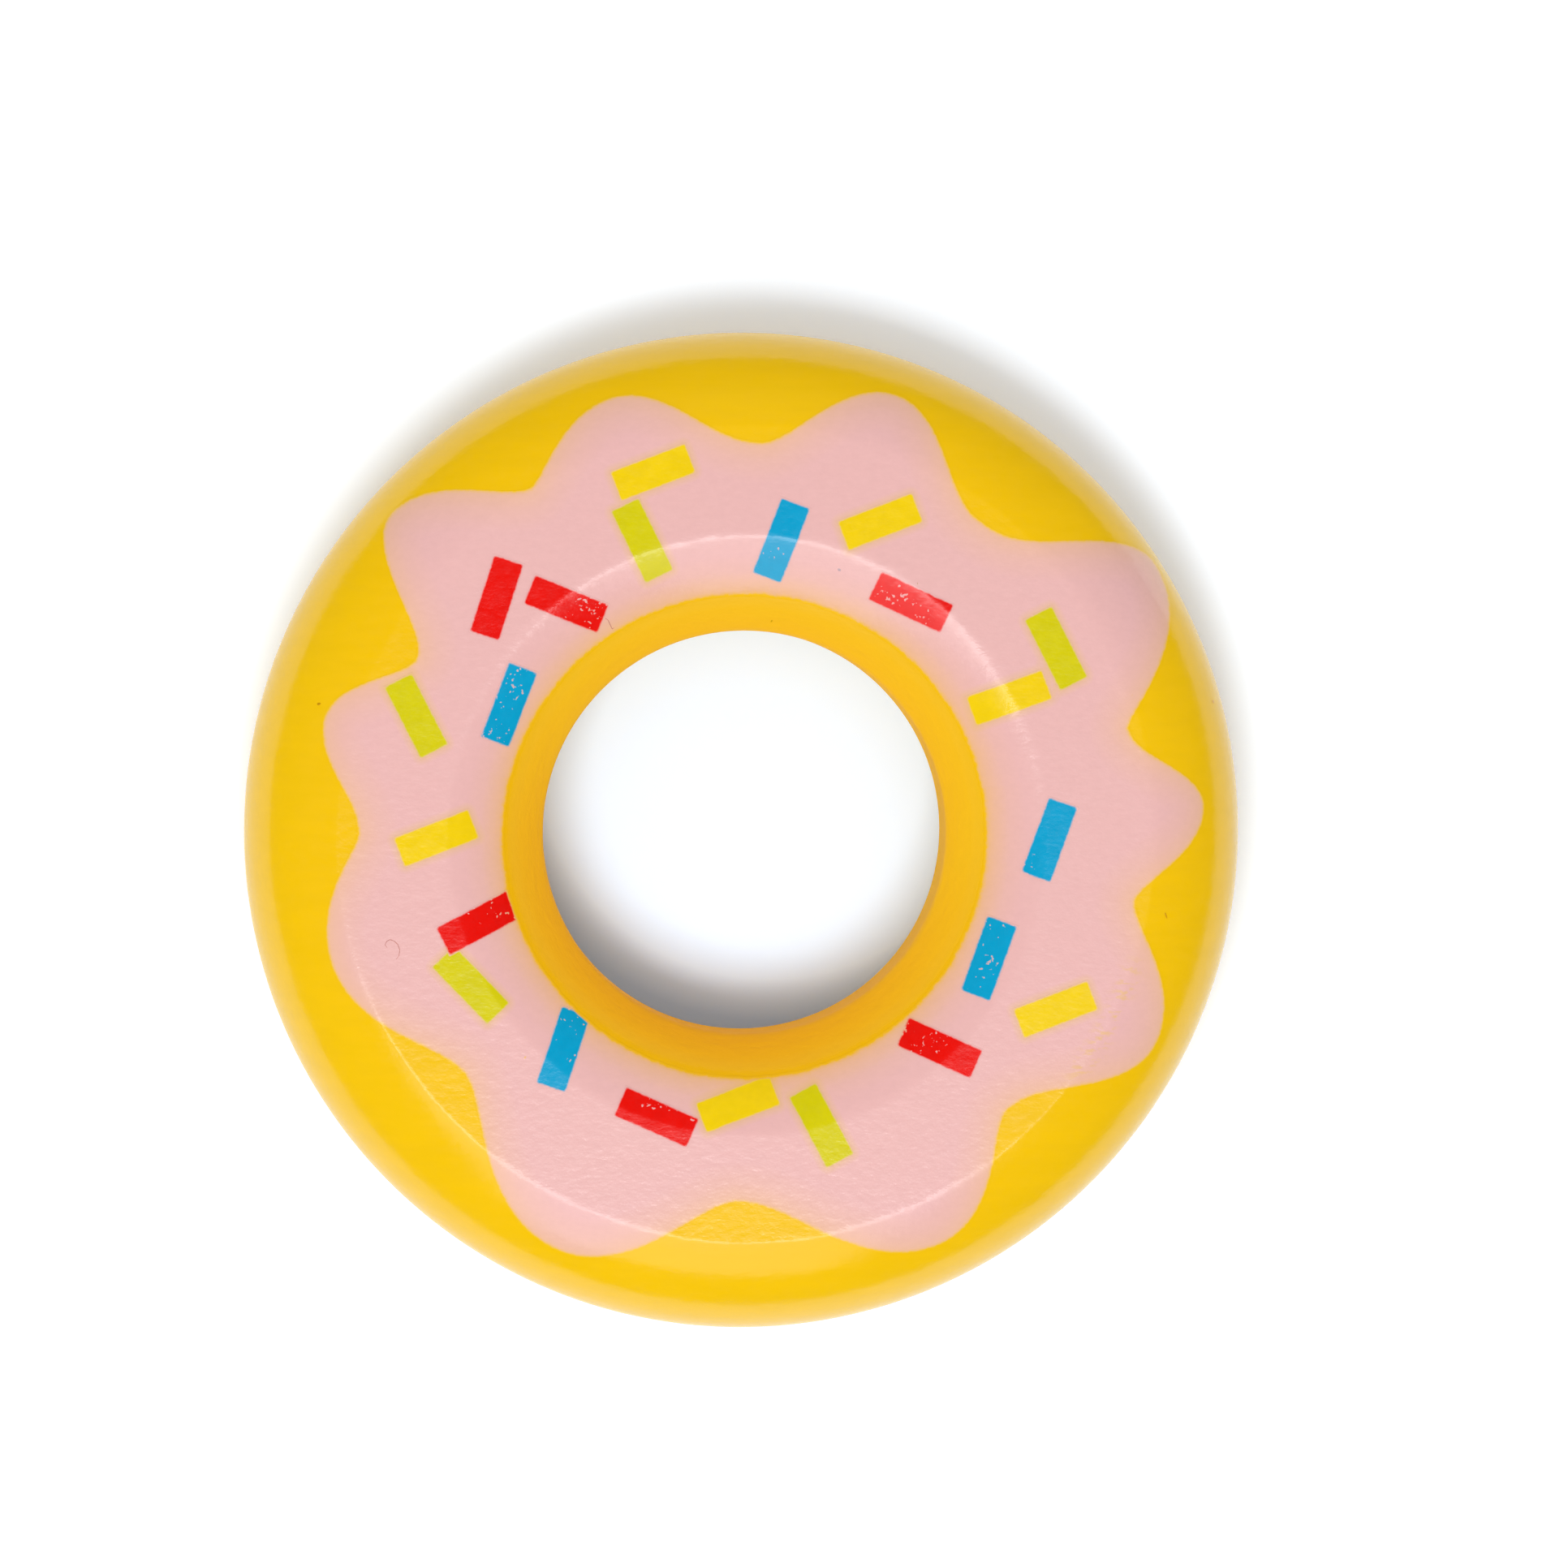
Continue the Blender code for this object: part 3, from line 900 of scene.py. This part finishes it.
def table_material():
    nodes = Nodes("white_table")
    speckle = nodes.noise(nodes.place(), 0.8, 2.0)
    colour = nodes.mix(speckle, FLOOR_COLOUR, times(FLOOR_COLOUR, 0.995))
    in_hole = within(nodes, FLOOR_REACH)
    colour = nodes.mix(in_hole, colour, HOLE_FLOOR_COLOUR)
    # painted shadow: the floor in the hole is darker on the hole's shaded side
    shade = within(nodes, FLOOR_SHADE_REACH, LIT_SIDE_POINT)
    shade = nodes.math("MULTIPLY", in_hole, shade)
    nodes.plug(nodes.mix(shade, colour, SHADED_FLOOR_COLOUR), nodes.shader.inputs["Base Color"])
    nodes.shader.inputs["Roughness"].default_value = FLOOR_ROUGHNESS
    nodes.shader.inputs["Specular IOR Level"].default_value = FLOOR_SPECULAR
    return nodes.material


def make_table(material):
    """The table in three parts, because the lacquer mirrors only the middle one."""
    corners = []
    for radius in (FLOOR_IN_HOLE_RADIUS, MIRRORED_FLOOR_RADIUS, FLOOR_RADIUS):
        for side in range(FLOOR_SIDES):
            angle = 2 * math.pi * side / FLOOR_SIDES
            corners.append((radius * math.cos(angle), radius * math.sin(angle), 0.0))
    parts = {"table_in_hole": [tuple(range(FLOOR_SIDES))], "table_middle": [], "table_around": []}
    for start, name in ((0, "table_middle"), (FLOOR_SIDES, "table_around")):
        for side in range(FLOOR_SIDES):
            near, beside = start + side, start + (side + 1) % FLOOR_SIDES
            parts[name].append((near, near + FLOOR_SIDES, beside + FLOOR_SIDES, beside))
    for name, faces in parts.items():
        mesh = bpy.data.meshes.new(name)
        mesh.from_pydata(corners, [], faces)
        mesh.materials.append(material)
        table = bpy.data.objects.new(name, mesh)
        table.visible_glossy = name == "table_middle"
        bpy.context.collection.objects.link(table)


def direction(azimuth, polar):
    """The unit vector at that azimuth from +X and that angle from the vertical, in radians."""
    across = math.sin(polar)
    return Vector((across * math.cos(azimuth), across * math.sin(azimuth), math.cos(polar)))


def add_light(name, azimuth, polar, distance, width, height, radiance):
    data = bpy.data.lights.new(name, "AREA")
    data.shape = "RECTANGLE"
    data.size, data.size_y = width, height
    data.energy = radiance * math.pi * width * height
    light = bpy.data.objects.new(name, data)
    back = direction(math.radians(azimuth), math.radians(polar))
    light.location = back * distance
    light.rotation_euler = back.to_track_quat("Z", "Y").to_euler()
    bpy.context.collection.objects.link(light)
    return light


def make_lights():
    """The lamps and the glow light the scene unmirrored, and the panels are only mirrored."""
    for name, facts in LAMPS.items():
        add_light(name, *facts).visible_glossy = False
    glow = add_light("table_glow", *TABLE_GLOW)
    glow.visible_glossy = False
    glow.visible_camera = False
    glow.location = (0, 0, GLOW_HEIGHT)
    glow.rotation_euler = (math.pi, 0, 0)
    for name, facts in PANELS.items():
        add_light(name, *facts).visible_diffuse = False
    world = bpy.data.worlds.new("studio")
    world.use_nodes = True
    background = world.node_tree.nodes["Background"]
    background.inputs["Color"].default_value = (*SKY_COLOUR, 1)
    background.inputs["Strength"].default_value = SKY
    world.cycles_visibility.glossy = False
    bpy.context.scene.world = world


def make_camera():
    data = bpy.data.cameras.new("camera")
    data.sensor_width = SENSOR
    data.lens = CAMERA_DISTANCE / PIXEL / FRAME_PIXELS * SENSOR
    data.clip_start, data.clip_end = 0.01, 10
    camera = bpy.data.objects.new("camera", data)
    back = direction(CAMERA_AZIMUTH, CAMERA_TILT)
    right = Vector((0, 1, 0)).cross(back).normalized()
    up = back.cross(right)
    turn = Matrix((right, up, back)).transposed().to_4x4()
    camera.matrix_world = Matrix.Translation(LOOK_AT + back * CAMERA_DISTANCE) @ turn
    bpy.context.collection.objects.link(camera)
    bpy.context.scene.camera = camera


make_ring(wood_material())
make_icing(icing_material())
make_sprinkles("red", sprinkle_material("red", holes=True))
make_sprinkles("blue", sprinkle_material("blue", holes=True))
make_sprinkles("green", sprinkle_material("green"))
make_sprinkles("yellow", sprinkle_material("yellow"))
for mark in SPECKS:
    make_speck(*mark)
for mark in HAIRS:
    make_hair(*mark)
make_table(table_material())
make_lights()
make_camera()
bpy.context.scene.view_settings.view_transform = "Standard"
